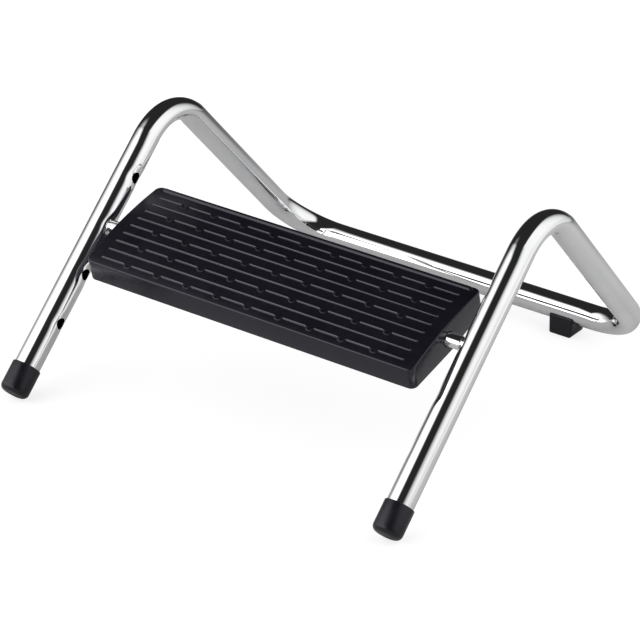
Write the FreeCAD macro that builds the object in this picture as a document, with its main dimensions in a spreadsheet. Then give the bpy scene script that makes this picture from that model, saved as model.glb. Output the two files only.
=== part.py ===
import FreeCAD, Part
import Sketcher
import math
import os

# Footrest: one bent steel tube as a frame, a tilting foot plate on a rod between the front legs,
# rubber caps on the front legs and rubber feet under the rear rail.
# Millimetres. +Z is up, the front faces -Y, X is the width.
# The origin is on the floor, under the centre of the footrest's overall width and depth.

DIMENSIONS = {
    # Tube frame
    "tube_diameter": 25.0,
    "tube_wall": 1.5,
    "leg_spacing": 411.0,
    "front_leg_length": 327.0,
    "front_leg_angle": 44.5,
    "rear_leg_angle": 43.85,
    "apex_bend_radius": 51.0,
    "corner_bend_radius": 56.0,
    # Height holes in the inner faces of the front legs, measured from the leg's lower end
    "height_hole_diameter": 11.0,
    "height_hole_first": 77.8,
    "height_hole_pitch": 52.1,
    "height_hole_count": 4,
    "rod_hole_number": 3,
    # Front caps
    "cap_wall": 1.5,
    "cap_floor": 3.0,
    "cap_length": 29.0,
    "cap_edge_radius": 5.5,
    # Rear feet
    "foot_length": 24.0,
    "foot_depth": 27.0,
    "foot_height": 21.0,
    "foot_saddle_drop": 3.2,
    "foot_offset": 121.0,
    "foot_edge_radius": 2.0,
    "foot_corner_radius": 2.5,
    "foot_rubber_under_head": 4.5,
    # Screws of the rear feet
    "screw_diameter": 4.0,
    "screw_head_diameter": 7.6,
    "screw_head_height": 2.8,
    "screw_head_clearance": 0.7,
    "screw_reach": 4.0,
    "screw_point": 1.6,
    "screw_slot_width": 1.2,
    "screw_slot_depth": 1.3,
    # Pivot rod
    "rod_diameter": 13.0,
    "rod_chamfer": 1.2,
    "rod_end_gap": 0.3,
    "spigot_length": 8.0,
    "spigot_clearance": 0.05,
    "spigot_chamfer": 1.0,
    # Foot plate, in its own level frame with the rod axis as the origin
    "plate_width": 356.0,
    "plate_depth": 117.0,
    "plate_tilt": 18.3,
    "plate_crown_height": 14.7,
    "plate_arch_radius": 404.0,
    "plate_skirt_depth": 12.3,
    "plate_keel_depth": 16.4,
    "plate_keel_offset": 7.5,
    "plate_wall": 3.2,
    "plate_corner_radius": 5.0,
    "plate_top_edge_radius": 1.2,
    "plate_low_edge_radius": 1.2,
    "web_count": 5,
    "web_pitch": 58.0,
    "web_thickness": 2.6,
    "web_depth": 10.5,
    "long_web_offset": 27.0,
    "boss_diameter": 21.0,
    "boss_length": 11.0,
    "rod_recess_diameter": 15.0,
    "rod_recess_depth": 1.5,
    # Ridges of the tread
    "ridge_length": 330.6,
    "ridge_width": 2.0,
    "ridge_height": 1.2,
    "ridge_root": 1.0,
    "ridge_pitch": 11.38,
    "ridge_first": 49.0,
    "ridge_count": 9,
    "jog_count": 9,
    "jog_pitch": 33.6,
    "jog_radius": 4.1,
    "jog_bulge": 3.3,
    # Rounded bead along the back edge of the tread
    "bead_diameter": 5.7,
    "bead_inset": 4.25,
    "bead_sink": 0.7,
}

doc = FreeCAD.newDocument("footrest")
sheet = doc.addObject("Spreadsheet::Sheet", "dims")
for row, (alias, value) in enumerate(DIMENSIONS.items(), start=1):
    sheet.set(f"A{row}", alias)
    sheet.set(f"B{row}", str(value))
    sheet.setAlias(f"B{row}", alias)
doc.recompute()


def size(alias):
    return float(getattr(sheet, alias))


# Places that follow from the sizes, as expressions on the sheet
FRONT = "(dims.front_leg_angle * 1 deg)"
REAR = "(dims.rear_leg_angle * 1 deg)"
TUBE_RADIUS = "(dims.tube_diameter / 2)"
HALF_SPACING = "(dims.leg_spacing / 2)"
CAP_RADIUS = f"({TUBE_RADIUS} + dims.cap_wall)"
CAP_FLAT = f"({CAP_RADIUS} - dims.cap_edge_radius)"
LEG_END_Z = f"({CAP_FLAT} * cos({FRONT}) + dims.cap_edge_radius * (1 - sin({FRONT})))"
CAP_REACH = f"({CAP_FLAT} * sin({FRONT}) + dims.cap_edge_radius * (1 - cos({FRONT})))"
APEX_Z = f"({LEG_END_Z} + dims.front_leg_length * sin({FRONT}))"
RAIL_Z = "(dims.foot_height + dims.foot_saddle_drop)"
REAR_RUN = f"(({APEX_Z} - {RAIL_Z}) / tan({REAR}))"
RAIL_REACH = f"max(dims.foot_depth / 2; {TUBE_RADIUS})"
DEPTH = f"({CAP_REACH} + dims.front_leg_length * cos({FRONT}) + {REAR_RUN} + {RAIL_REACH})"
LEG_END_Y = f"({CAP_REACH} - {DEPTH} / 2)"
APEX_Y = f"({LEG_END_Y} + dims.front_leg_length * cos({FRONT}))"
RAIL_Y = f"({DEPTH} / 2 - {RAIL_REACH})"
APEX_TANGENT = f"(dims.apex_bend_radius * tan(({FRONT} + {REAR}) / 2))"
REAR_LEG_TOP = f"({REAR_RUN} / cos({REAR}) - {APEX_TANGENT})"
ROD_ALONG_LEG = "(dims.height_hole_first + (dims.rod_hole_number - 1) * dims.height_hole_pitch)"
ROD_Y = f"({LEG_END_Y} + {ROD_ALONG_LEG} * cos({FRONT}))"
ROD_Z = f"({LEG_END_Z} + {ROD_ALONG_LEG} * sin({FRONT}))"
ARCH_CENTRE = "(dims.plate_crown_height - dims.plate_arch_radius)"
INNER_CROWN = "(dims.plate_crown_height - dims.plate_wall)"
INNER_DEPTH = "(dims.plate_depth - 2 * dims.plate_wall)"
INNER_WIDTH = "(dims.plate_width - 2 * dims.plate_wall)"
WEB_START = "(-(dims.web_count - 1) * dims.web_pitch / 2)"
# The sink leaves the named thickness of rubber between the screw's head and the tube
SINK_DEPTH = f"({RAIL_Z} - {TUBE_RADIUS} - dims.foot_rubber_under_head)"


def value_of(expression):
    return float(sheet.evalExpression(expression))


def bind(thing, links):
    for name, expression in links.items():
        thing.setExpression(name, expression)


def new_body(label):
    body = doc.addObject("PartDesign::Body", label)
    body.Label = label
    return body


def origin_plane(body, role):
    return next(feature for feature in body.Origin.OriginFeatures if feature.Role == role)


def new_sketch(body, name, role, at=("0", "0", "0"), turn=None, axis=(0, 0, 1)):
    """Sketch on an origin plane of its body, moved and turned in that plane's own frame."""
    sketch = body.newObject("Sketcher::SketchObject", name)
    sketch.AttachmentSupport = (origin_plane(body, role), [""])
    sketch.MapMode = "FlatFace"
    start = FreeCAD.Vector(*(value_of(part) for part in at))
    angle = 0.0 if turn is None else value_of(f"({turn}) / (1 deg)")
    rotation = FreeCAD.Rotation(FreeCAD.Vector(*axis), angle)
    sketch.AttachmentOffset = FreeCAD.Placement(start, rotation)
    for letter, expression in zip("xyz", at):
        if expression != "0":
            sketch.setExpression(f"AttachmentOffset.Base.{letter}", expression)
    if turn is not None:
        sketch.setExpression("AttachmentOffset.Rotation.Angle", turn)
    return sketch


def rule(sketch, kind, *arguments, expression=None):
    """Add a constraint, with its value from an expression on the sheet where it has one."""
    if expression is None:
        return sketch.addConstraint(Sketcher.Constraint(kind, *arguments))
    value = value_of(expression)
    index = sketch.addConstraint(Sketcher.Constraint(kind, *arguments, value))
    sketch.setExpression(f"Constraints[{index}]", expression)
    return index


def point_rule(sketch, edge, end, x, y):
    """Hold one end of an edge at a place in the sketch."""
    for kind, expression in (("DistanceX", x), ("DistanceY", y)):
        if expression == "0":
            alignment = "Vertical" if kind == "DistanceX" else "Horizontal"
            sketch.addConstraint(Sketcher.Constraint(alignment, edge, end, -1, 1))
        else:
            rule(sketch, kind, -1, 1, edge, end, expression=expression)


def add_circle(sketch, radius, x="0", y="0"):
    centre = FreeCAD.Vector(value_of(x), value_of(y), 0)
    circle = Part.Circle(centre, FreeCAD.Vector(0, 0, 1), value_of(radius))
    edge = sketch.addGeometry(circle, False)
    rule(sketch, "Radius", edge, expression=radius)
    point_rule(sketch, edge, 3, x, y)
    return edge


def add_outline(sketch, corners):
    """Closed outline of straight lines through corners given as expressions."""
    points = [FreeCAD.Vector(value_of(x), value_of(y), 0) for x, y in corners]
    edges = []
    for here, there in zip(points, points[1:] + points[:1]):
        edges.append(sketch.addGeometry(Part.LineSegment(here, there), False))
    for edge, following in zip(edges, edges[1:] + edges[:1]):
        sketch.addConstraint(Sketcher.Constraint("Coincident", edge, 2, following, 1))
    for edge, (x, y) in zip(edges, corners):
        point_rule(sketch, edge, 1, x, y)
    return edges


def add_rectangle(sketch, left, right, low, high):
    return add_outline(sketch, [(left, low), (right, low), (right, high), (left, high)])


def new_feature(body, kind, name, profile, links=None, **settings):
    feature = body.newObject(f"PartDesign::{kind}", name)
    feature.Profile = profile
    for setting, value in settings.items():
        setattr(feature, setting, value)
    bind(feature, links or {})
    profile.Visibility = False
    return feature


def mirrored(body, name, originals):
    mirror = body.newObject("PartDesign::Mirrored", name)
    mirror.Originals = originals
    mirror.MirrorPlane = (origin_plane(body, "YZ_Plane"), [""])
    body.Tip = mirror
    return mirror


def edges_where(shape, test):
    return [f"Edge{number}" for number, edge in enumerate(shape.Edges, start=1) if test(edge)]


def fillet(body, name, base, test, radius):
    doc.recompute()
    rounding = body.newObject("PartDesign::Fillet", name)
    rounding.Base = (base, edges_where(base.Shape, test))
    rounding.setExpression("Radius", radius)
    doc.recompute()
    return rounding


def place(body, position, axis=(1, 0, 0), turn=None):
    angle = 0.0 if turn is None else value_of(f"({turn}) / (1 deg)")
    base = FreeCAD.Vector(*(value_of(part) for part in position))
    body.Placement = FreeCAD.Placement(base, FreeCAD.Rotation(FreeCAD.Vector(*axis), angle))
    bind(body, {f"Placement.Base.{letter}": part for letter, part in zip("xyz", position)})
    if turn is not None:
        body.setExpression("Placement.Rotation.Angle", turn)


# Tube frame: a hollow section run along each front leg and apex bend, and along both rear legs and
# the rail, which lie in one slanted plane.
def make_tube_frame():
    body = new_body("tube_frame")
    tube_inside = f"({TUBE_RADIUS} - dims.tube_wall)"
    start_y = f"({LEG_END_Y} + dims.cap_floor * cos({FRONT}))"
    start_z = f"({LEG_END_Z} + dims.cap_floor * sin({FRONT}))"
    straight = f"(dims.front_leg_length - dims.cap_floor - {APEX_TANGENT})"

    rear_path = new_sketch(body, "rear_path", "XY_Plane", ("0", RAIL_Y, RAIL_Z), f"-{REAR}", (1, 0, 0))
    half, corner = value_of(HALF_SPACING), value_of("dims.corner_bend_radius")
    top = -value_of(REAR_LEG_TOP)
    vector, up = FreeCAD.Vector, FreeCAD.Vector(0, 0, 1)
    for first, last in (
        (vector(-half, top, 0), vector(-half, -corner, 0)),
        (vector(-half + corner, 0, 0), vector(half - corner, 0, 0)),
        (vector(half, -corner, 0), vector(half, top, 0)),
    ):
        rear_path.addGeometry(Part.LineSegment(first, last), False)
    left_bend = Part.Circle(vector(-half + corner, -corner, 0), up, corner)
    right_bend = Part.Circle(vector(half - corner, -corner, 0), up, corner)
    rear_path.addGeometry(Part.ArcOfCircle(left_bend, math.pi / 2, math.pi), False)
    rear_path.addGeometry(Part.ArcOfCircle(right_bend, 0, math.pi / 2), False)
    for leg in (0, 2):
        rule(rear_path, "Vertical", leg)
    rule(rear_path, "Tangent", 0, 2, 3, 2)
    rule(rear_path, "Tangent", 3, 1, 1, 1)
    rule(rear_path, "Tangent", 1, 2, 4, 2)
    rule(rear_path, "Tangent", 4, 1, 2, 1)
    rule(rear_path, "PointOnObject", 1, 1, -1)
    rule(rear_path, "Equal", 3, 4)
    rule(rear_path, "Radius", 3, expression="dims.corner_bend_radius")
    point_rule(rear_path, 0, 1, f"-{HALF_SPACING}", f"-{REAR_LEG_TOP}")
    point_rule(rear_path, 2, 2, HALF_SPACING, f"-{REAR_LEG_TOP}")

    rear_start = (
        f"-{HALF_SPACING}",
        f"({RAIL_Y} - {REAR_LEG_TOP} * cos({REAR}))",
        f"({RAIL_Z} + {REAR_LEG_TOP} * sin({REAR}))",
    )
    rear_section = new_sketch(body, "rear_section", "XY_Plane", rear_start, f"-(90 deg + {REAR})", (1, 0, 0))
    add_circle(rear_section, TUBE_RADIUS)
    add_circle(rear_section, tube_inside)
    rear_tube = new_feature(body, "AdditivePipe", "rear_tube", rear_section, Spine=(rear_path, []))

    front_path = new_sketch(body, "front_path", "YZ_Plane", (start_y, start_z, f"-{HALF_SPACING}"), FRONT)
    length, bend = value_of(straight), value_of("dims.apex_bend_radius")
    span = math.radians(value_of("dims.front_leg_angle + dims.rear_leg_angle"))
    front_path.addGeometry(Part.LineSegment(vector(0, 0, 0), vector(length, 0, 0)), False)
    apex = Part.Circle(vector(length, -bend, 0), up, bend)
    front_path.addGeometry(Part.ArcOfCircle(apex, math.pi / 2 - span, math.pi / 2), False)
    rule(front_path, "Coincident", 0, 1, -1, 1)
    rule(front_path, "Horizontal", 0)
    rule(front_path, "Distance", 0, expression=straight)
    rule(front_path, "Tangent", 0, 2, 1, 2)
    rule(front_path, "Radius", 1, expression="dims.apex_bend_radius")
    bend_angle = front_path.addConstraint(Sketcher.Constraint("Angle", 1, span))
    front_path.setExpression(f"Constraints[{bend_angle}]", f"{FRONT} + {REAR}")

    front_start = (f"-{HALF_SPACING}", start_y, start_z)
    front_section = new_sketch(body, "front_section", "XY_Plane", front_start, f"-(90 deg - {FRONT})", (1, 0, 0))
    add_circle(front_section, TUBE_RADIUS)
    add_circle(front_section, tube_inside)
    left_tube = new_feature(body, "AdditivePipe", "left_front_tube", front_section, Spine=(front_path, []))
    mirrored(body, "right_front_tube", [left_tube])

    # One cut between the two leg axes opens only the inner wall of each leg
    hole_sketch = new_sketch(body, "height_hole_sketch", "YZ_Plane", (LEG_END_Y, LEG_END_Z, "0"), FRONT)
    add_circle(hole_sketch, "dims.height_hole_diameter / 2", x="dims.height_hole_first")
    hole = new_feature(
        body, "Pocket", "height_hole", hole_sketch, {"Length": "dims.leg_spacing"}, SideType="Symmetric"
    )
    row = body.newObject("PartDesign::LinearPattern", "height_holes")
    row.Originals = [hole]
    row.Direction = (hole_sketch, ["H_Axis"])
    bind(row, {
        "Length": "(dims.height_hole_count - 1) * dims.height_hole_pitch",
        "Occurrences": "dims.height_hole_count",
    })
    body.Tip = row

    screw_sketch = new_sketch(body, "screw_hole_sketch", "XY_Plane")
    add_circle(screw_sketch, "dims.screw_diameter / 2", "-dims.foot_offset", RAIL_Y)
    add_circle(screw_sketch, "dims.screw_diameter / 2", "dims.foot_offset", RAIL_Y)
    new_feature(body, "Pocket", "screw_holes", screw_sketch, {"Length": RAIL_Z}, Reversed=True)
    return body


# Front cap: a rubber cup with a rounded lower edge, turned about the leg's axis
def make_front_cap(label, side):
    body = new_body(label)
    profile = new_sketch(body, f"{label}_profile", "XZ_Plane")
    corners = [
        ("0", "0"),
        (CAP_RADIUS, "0"),
        (CAP_RADIUS, "dims.cap_length"),
        (TUBE_RADIUS, "dims.cap_length"),
        (TUBE_RADIUS, "dims.cap_floor"),
        ("0", "dims.cap_floor"),
    ]
    add_outline(profile, corners)
    cup = new_feature(body, "Revolution", f"{label}_cup", profile, Angle=360.0)
    cup.ReferenceAxis = (profile, ["V_Axis"])
    doc.recompute()
    rounding = body.newObject("PartDesign::Fillet", f"{label}_edge")
    cap_radius = value_of(CAP_RADIUS)

    def at_floor(edge):
        box = edge.BoundBox
        return box.ZMax < 0.01 and box.XLength > cap_radius

    rounding.Base = (cup, edges_where(cup.Shape, at_floor))
    rounding.setExpression("Radius", "dims.cap_edge_radius")
    place(body, (f"{side} * {HALF_SPACING}", LEG_END_Y, LEG_END_Z), turn=f"-(90 deg - {FRONT})")
    return body


# Rear foot: a square rubber block with a round saddle for the rail and a counterbored screw hole
def make_rear_foot(label, side):
    body = new_body(label)
    half_length, half_depth = "(dims.foot_length / 2)", "(dims.foot_depth / 2)"
    outline = new_sketch(body, f"{label}_outline", "XY_Plane")
    add_rectangle(outline, f"-{half_length}", half_length, f"-{half_depth}", half_depth)
    block = new_feature(body, "Pad", f"{label}_block", outline, {"Length": "dims.foot_height"})
    height = value_of("dims.foot_height")

    def upright(edge):
        return abs(edge.BoundBox.ZLength - height) < 0.01

    def at_floor(edge):
        return edge.BoundBox.ZMax < 0.01

    corners = fillet(body, f"{label}_corners", block, upright, "dims.foot_corner_radius")
    fillet(body, f"{label}_low_edge", corners, at_floor, "dims.foot_edge_radius")
    saddle = new_sketch(body, f"{label}_saddle_sketch", "YZ_Plane")
    add_circle(saddle, TUBE_RADIUS, "0", RAIL_Z)
    new_feature(
        body, "Pocket", f"{label}_saddle", saddle, {"Length": "2 * dims.foot_length"}, SideType="Symmetric"
    )
    shank = new_sketch(body, f"{label}_shank_sketch", "XY_Plane")
    add_circle(shank, "dims.screw_diameter / 2")
    new_feature(body, "Pocket", f"{label}_shank_hole", shank, {"Length": RAIL_Z}, Reversed=True)
    sink = new_sketch(body, f"{label}_sink_sketch", "XY_Plane")
    add_circle(sink, "dims.screw_head_diameter / 2 + dims.screw_head_clearance")
    new_feature(body, "Pocket", f"{label}_head_sink", sink, {"Length": SINK_DEPTH}, Reversed=True)
    place(body, (f"{side} * dims.foot_offset", RAIL_Y, "0"))
    return body



# Rear foot screws: head and shank as one turned shape, with a slot across the head
def make_rear_foot_screws():
    length = "(dims.foot_rubber_under_head + dims.tube_wall + dims.screw_reach)"
    screws = []
    for name, side in (("left_screw", -1), ("right_screw", 1)):
        head = doc.addObject("Part::Cylinder", f"{name}_head")
        bind(head, {
            "Radius": "dims.screw_head_diameter / 2",
            "Height": "dims.screw_head_height",
            "Placement.Base.z": "-dims.screw_head_height",
        })
        shank = doc.addObject("Part::Cylinder", f"{name}_shank")
        bind(shank, {"Radius": "dims.screw_diameter / 2", "Height": f"{length} - dims.screw_point"})
        point = doc.addObject("Part::Cone", f"{name}_point")
        bind(point, {
            "Radius1": "dims.screw_diameter / 2",
            "Radius2": "dims.screw_diameter / 6",
            "Height": "dims.screw_point",
            "Placement.Base.z": f"{length} - dims.screw_point",
        })
        slot = doc.addObject("Part::Box", f"{name}_slot")
        bind(slot, {
            "Length": "2 * dims.screw_head_diameter",
            "Width": "dims.screw_slot_width",
            "Height": "2 * dims.screw_slot_depth",
            "Placement.Base.x": "-dims.screw_head_diameter",
            "Placement.Base.y": "-dims.screw_slot_width / 2",
            "Placement.Base.z": "-dims.screw_head_height - dims.screw_slot_depth",
        })
        solid = doc.addObject("Part::MultiFuse", f"{name}_solid")
        solid.Shapes = [head, shank, point]
        screw = doc.addObject("Part::Cut", name)
        screw.Base = solid
        screw.Tool = slot
        place(screw, (f"{side} * dims.foot_offset", RAIL_Y, SINK_DEPTH))
        screws.append(screw)
    group = doc.addObject("Part::Compound", "rear_foot_screws")
    group.Label = "rear_foot_screws"
    group.Links = screws
    return group


# Pivot rod: a straight rod whose turned-down ends stand in a pair of leg holes
def make_pivot_rod():
    body = new_body("pivot_rod")
    radius = "(dims.rod_diameter / 2)"
    spigot = "(dims.height_hole_diameter / 2 - dims.spigot_clearance)"
    shoulder = f"({HALF_SPACING} - {TUBE_RADIUS} - dims.rod_end_gap)"
    tip = f"({shoulder} + dims.rod_end_gap + dims.spigot_length)"
    profile = new_sketch(body, "rod_profile", "XY_Plane")
    half = [
        (shoulder, spigot),
        (f"{tip} - dims.spigot_chamfer", spigot),
        (tip, f"{spigot} - dims.spigot_chamfer"),
        (tip, "0"),
    ]
    barrel = [(f"{shoulder} - dims.rod_chamfer", radius), (shoulder, f"{radius} - dims.rod_chamfer / 2")]
    right = barrel + half
    left = [(f"-({x})", y) for x, y in reversed(right)]
    add_outline(profile, left + right)
    rod = new_feature(body, "Revolution", "rod", profile, Angle=360.0)
    rod.ReferenceAxis = (profile, ["H_Axis"])
    place(body, ("0", ROD_Y, ROD_Z), turn="dims.plate_tilt * 1 deg")
    return body


def add_plate_section(sketch, half_depth, crown, arch_radius, low, keel):
    """Side section: upright ends, an arc over them and a shallow keel below."""
    depth, top, radius = value_of(half_depth), value_of(crown), value_of(arch_radius)
    bottom, point = value_of(low), value_of(keel)
    turn = math.asin(depth / radius)
    side_top = top - radius + radius * math.cos(turn)
    offset = value_of("dims.plate_keel_offset")
    vector = FreeCAD.Vector
    arch = Part.Circle(vector(0, top - radius, 0), vector(0, 0, 1), radius)
    arc = Part.ArcOfCircle(arch, math.pi / 2 - turn, math.pi / 2 + turn)
    sketch.addGeometry(arc, False)
    lines = (
        (vector(-depth, side_top, 0), vector(-depth, bottom, 0)),
        (vector(-depth, bottom, 0), vector(offset, point, 0)),
        (vector(offset, point, 0), vector(depth, bottom, 0)),
        (vector(depth, bottom, 0), vector(depth, side_top, 0)),
    )
    for first, last in lines:
        sketch.addGeometry(Part.LineSegment(first, last), False)
    rule(sketch, "Coincident", 0, 2, 1, 1)
    for edge in (1, 2, 3):
        rule(sketch, "Coincident", edge, 2, edge + 1, 1)
    rule(sketch, "Coincident", 4, 2, 0, 1)
    rule(sketch, "Vertical", 1)
    rule(sketch, "Vertical", 4)
    point_rule(sketch, 2, 1, f"-{half_depth}", low)
    point_rule(sketch, 3, 1, "dims.plate_keel_offset", keel)
    point_rule(sketch, 4, 1, half_depth, low)
    rule(sketch, "Radius", 0, expression=arch_radius)
    point_rule(sketch, 0, 3, "0", f"({crown} - {arch_radius})")


def add_jogged_strip(sketch):
    """Strip with half-round jogs that bulge to the front, drawn as one closed outline."""
    half, width = value_of("dims.ridge_length") / 2, value_of("dims.ridge_width") / 2
    count = int(value_of("dims.jog_count"))
    radius, bulge = value_of("dims.jog_radius"), value_of("dims.jog_bulge")
    pitch = value_of("dims.jog_pitch")
    centres = [(number - (count - 1) / 2) * pitch for number in range(count)]
    vector = FreeCAD.Vector

    def side(offset, reach):
        """One long side from left to right: straight runs joined by arcs through three points."""
        edges, start = [], vector(-half, offset, 0)
        for centre in centres:
            before, after = vector(centre - reach, offset, 0), vector(centre + reach, offset, 0)
            crest = vector(centre, offset - bulge, 0)
            edges.append(Part.LineSegment(start, before))
            edges.append(Part.Arc(before, crest, after))
            start = after
        edges.append(Part.LineSegment(start, vector(half, offset, 0)))
        return edges

    front, back = side(-width, radius + width / 2), side(width, radius - width / 2)
    for edge in front + back:
        sketch.addGeometry(edge, False)
    for x in (-half, half):
        sketch.addGeometry(Part.LineSegment(vector(x, -width, 0), vector(x, width, 0)), False)
    for edge in range(sketch.GeometryCount):
        sketch.addConstraint(Sketcher.Constraint("Block", edge))


# Foot plate: an arched moulding with a skirt all round, open below, with webs and rod bosses inside
def make_foot_plate():
    body = new_body("foot_plate")
    half_depth, inner_half = "(dims.plate_depth / 2)", f"({INNER_DEPTH} / 2)"
    section = new_sketch(body, "plate_section", "YZ_Plane")
    low, keel = "-dims.plate_skirt_depth", "-dims.plate_keel_depth"
    add_plate_section(section, half_depth, "dims.plate_crown_height", "dims.plate_arch_radius", low, keel)
    block = new_feature(
        body, "Pad", "plate_block", section, {"Length": "dims.plate_width"}, SideType="Symmetric"
    )
    margin = value_of("dims.plate_corner_radius") * 1.002
    rim_x, rim_y = value_of("dims.plate_width") / 2 - margin, value_of(half_depth) - margin
    skirt = value_of("dims.plate_skirt_depth")

    def upright(edge):
        box = edge.BoundBox
        at_corner = box.XLength < 0.01 and box.YLength < 0.01
        return at_corner and box.ZLength > skirt

    def on_rim(edge):
        box = edge.BoundBox
        across = box.XMin > rim_x or box.XMax < -rim_x
        along = box.YMin > rim_y or box.YMax < -rim_y
        return box.ZLength < skirt and (across or along)

    def top_rim(edge):
        return on_rim(edge) and edge.BoundBox.ZMin > 0

    def low_rim(edge):
        return on_rim(edge) and edge.BoundBox.ZMax < 0

    corners = fillet(body, "plate_corners", block, upright, "dims.plate_corner_radius")
    top = fillet(body, "plate_top_edge", corners, top_rim, "dims.plate_top_edge_radius")
    fillet(body, "plate_low_edge", top, low_rim, "dims.plate_low_edge_radius")

    inner = new_sketch(body, "hollow_section", "YZ_Plane")
    below = "(dims.plate_keel_depth + dims.plate_wall)"
    add_plate_section(
        inner, inner_half, INNER_CROWN, "(dims.plate_arch_radius - dims.plate_wall)", f"-{below}", f"-{below} - 1"
    )
    new_feature(body, "Pocket", "hollow", inner, {"Length": INNER_WIDTH}, SideType="Symmetric")

    web_root = "(dims.plate_wall / 2)"
    web_sketch = new_sketch(body, "cross_web_section", "YZ_Plane", ("0", "0", WEB_START))
    add_plate_section(
        web_sketch,
        f"({inner_half} + {web_root})",
        f"({INNER_CROWN} + {web_root})",
        "(dims.plate_arch_radius - dims.plate_wall / 2)",
        "-dims.web_depth",
        "-dims.web_depth - 1",
    )
    web = new_feature(
        body, "Pad", "cross_web", web_sketch, {"Length": "dims.web_thickness"}, SideType="Symmetric"
    )
    webs = body.newObject("PartDesign::LinearPattern", "cross_webs")
    webs.Originals = [web]
    webs.Direction = (origin_plane(body, "X_Axis"), [""])
    bind(webs, {"Length": "(dims.web_count - 1) * dims.web_pitch", "Occurrences": "dims.web_count"})
    body.Tip = webs

    long_sketch = new_sketch(body, "long_web_section", "YZ_Plane")
    crown = "(dims.plate_crown_height - dims.plate_wall)"
    for sign in ("-", ""):
        middle = f"{sign}dims.long_web_offset"
        left, right = f"({middle} - dims.web_thickness / 2)", f"({middle} + dims.web_thickness / 2)"
        add_rectangle(long_sketch, left, right, "-dims.web_depth", crown)
    long_length = f"({INNER_WIDTH} + dims.plate_wall)"
    new_feature(body, "Pad", "long_webs", long_sketch, {"Length": long_length}, SideType="Symmetric")

    boss_start = "(dims.plate_width / 2 - dims.plate_wall / 2)"
    boss_sketch = new_sketch(body, "boss_sketch", "YZ_Plane", ("0", "0", boss_start))
    add_circle(boss_sketch, "dims.boss_diameter / 2")
    boss = new_feature(body, "Pad", "right_boss", boss_sketch, {"Length": "dims.boss_length"}, Reversed=True)
    mirrored(body, "left_boss", [boss])

    bore = new_sketch(body, "rod_bore_sketch", "YZ_Plane")
    add_circle(bore, "dims.rod_diameter / 2")
    new_feature(body, "Pocket", "rod_bore", bore, {"Length": "2 * dims.plate_width"}, SideType="Symmetric")
    recess = new_sketch(body, "rod_recess_sketch", "YZ_Plane", ("0", "0", "dims.plate_width / 2"))
    add_circle(recess, "dims.rod_recess_diameter / 2")
    right_recess = new_feature(body, "Pocket", "right_recess", recess, {"Length": "dims.rod_recess_depth"})
    mirrored(body, "left_recess", [right_recess])

    arch_axis = new_sketch(body, "arch_axis", "XY_Plane", ("0", "0", ARCH_CENTRE))
    ridge_radius = "(dims.plate_arch_radius - dims.ridge_root)"
    for name, skip in (("jogged_ridge", 0), ("plain_ridge", 1)):
        lean = f"((dims.ridge_first - {skip} * dims.ridge_pitch) / dims.plate_arch_radius * 1 rad)"
        at = ("0", f"-{ridge_radius} * sin({lean})", f"{ARCH_CENTRE} + {ridge_radius} * cos({lean})")
        strip = new_sketch(body, f"{name}_sketch", "XY_Plane", at, lean, (1, 0, 0))
        if skip:
            half, width = "(dims.ridge_length / 2)", "(dims.ridge_width / 2)"
            add_rectangle(strip, f"-{half}", half, f"-{width}", width)
        else:
            add_jogged_strip(strip)
        ridge = new_feature(body, "Pad", name, strip, {"Length": "dims.ridge_root + dims.ridge_height"})
        copies = f"(floor((dims.ridge_count - {skip} - 1) / 2) + 1)"
        ring = body.newObject("PartDesign::PolarPattern", f"{name}s")
        ring.Originals = [ridge]
        ring.Axis = (arch_axis, ["H_Axis"])
        ring.Reversed = True
        bind(ring, {
            "Angle": f"({copies} - 1) * 2 * dims.ridge_pitch / dims.plate_arch_radius * 1 rad",
            "Occurrences": copies,
        })
        body.Tip = ring

    # A round bead, sunk into the tread, closes its back edge between the rounded corners
    bead = new_sketch(body, "back_bead_section", "YZ_Plane")
    bead_y = "(dims.plate_depth / 2 - dims.bead_inset)"
    bead_z = f"({ARCH_CENTRE} + sqrt(dims.plate_arch_radius ^ 2 - {bead_y} ^ 2) - dims.bead_sink)"
    add_circle(bead, "dims.bead_diameter / 2", bead_y, bead_z)
    bead_length = "(dims.plate_width - 2 * dims.plate_corner_radius)"
    new_feature(body, "Pad", "back_bead", bead, {"Length": bead_length}, SideType="Symmetric")
    place(body, ("0", ROD_Y, ROD_Z), turn="dims.plate_tilt * 1 deg")
    return body


pieces = [
    make_tube_frame(),
    make_front_cap("left_front_cap", -1),
    make_front_cap("right_front_cap", 1),
    make_rear_foot("left_rear_foot", -1),
    make_rear_foot("right_rear_foot", 1),
    make_rear_foot_screws(),
    make_foot_plate(),
    make_pivot_rod(),
]
doc.recompute()

for thing in doc.Objects:
    if "Invalid" in thing.State or "Error" in thing.State:
        raise RuntimeError(f"{thing.Label} did not build: {thing.State}")
for piece in pieces:
    if piece.Shape.isNull() or not piece.Shape.isValid():
        raise RuntimeError(f"{piece.Label} has no valid shape")

os.makedirs("parts", exist_ok=True)
for piece in pieces:
    piece.Shape.exportStep(f"parts/{piece.Label}.step")
    box = piece.Shape.BoundBox
    print(piece.Label, len(piece.Shape.Solids), round(piece.Shape.Volume), box)
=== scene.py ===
import math

import bpy
from mathutils import Matrix, Vector


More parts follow.
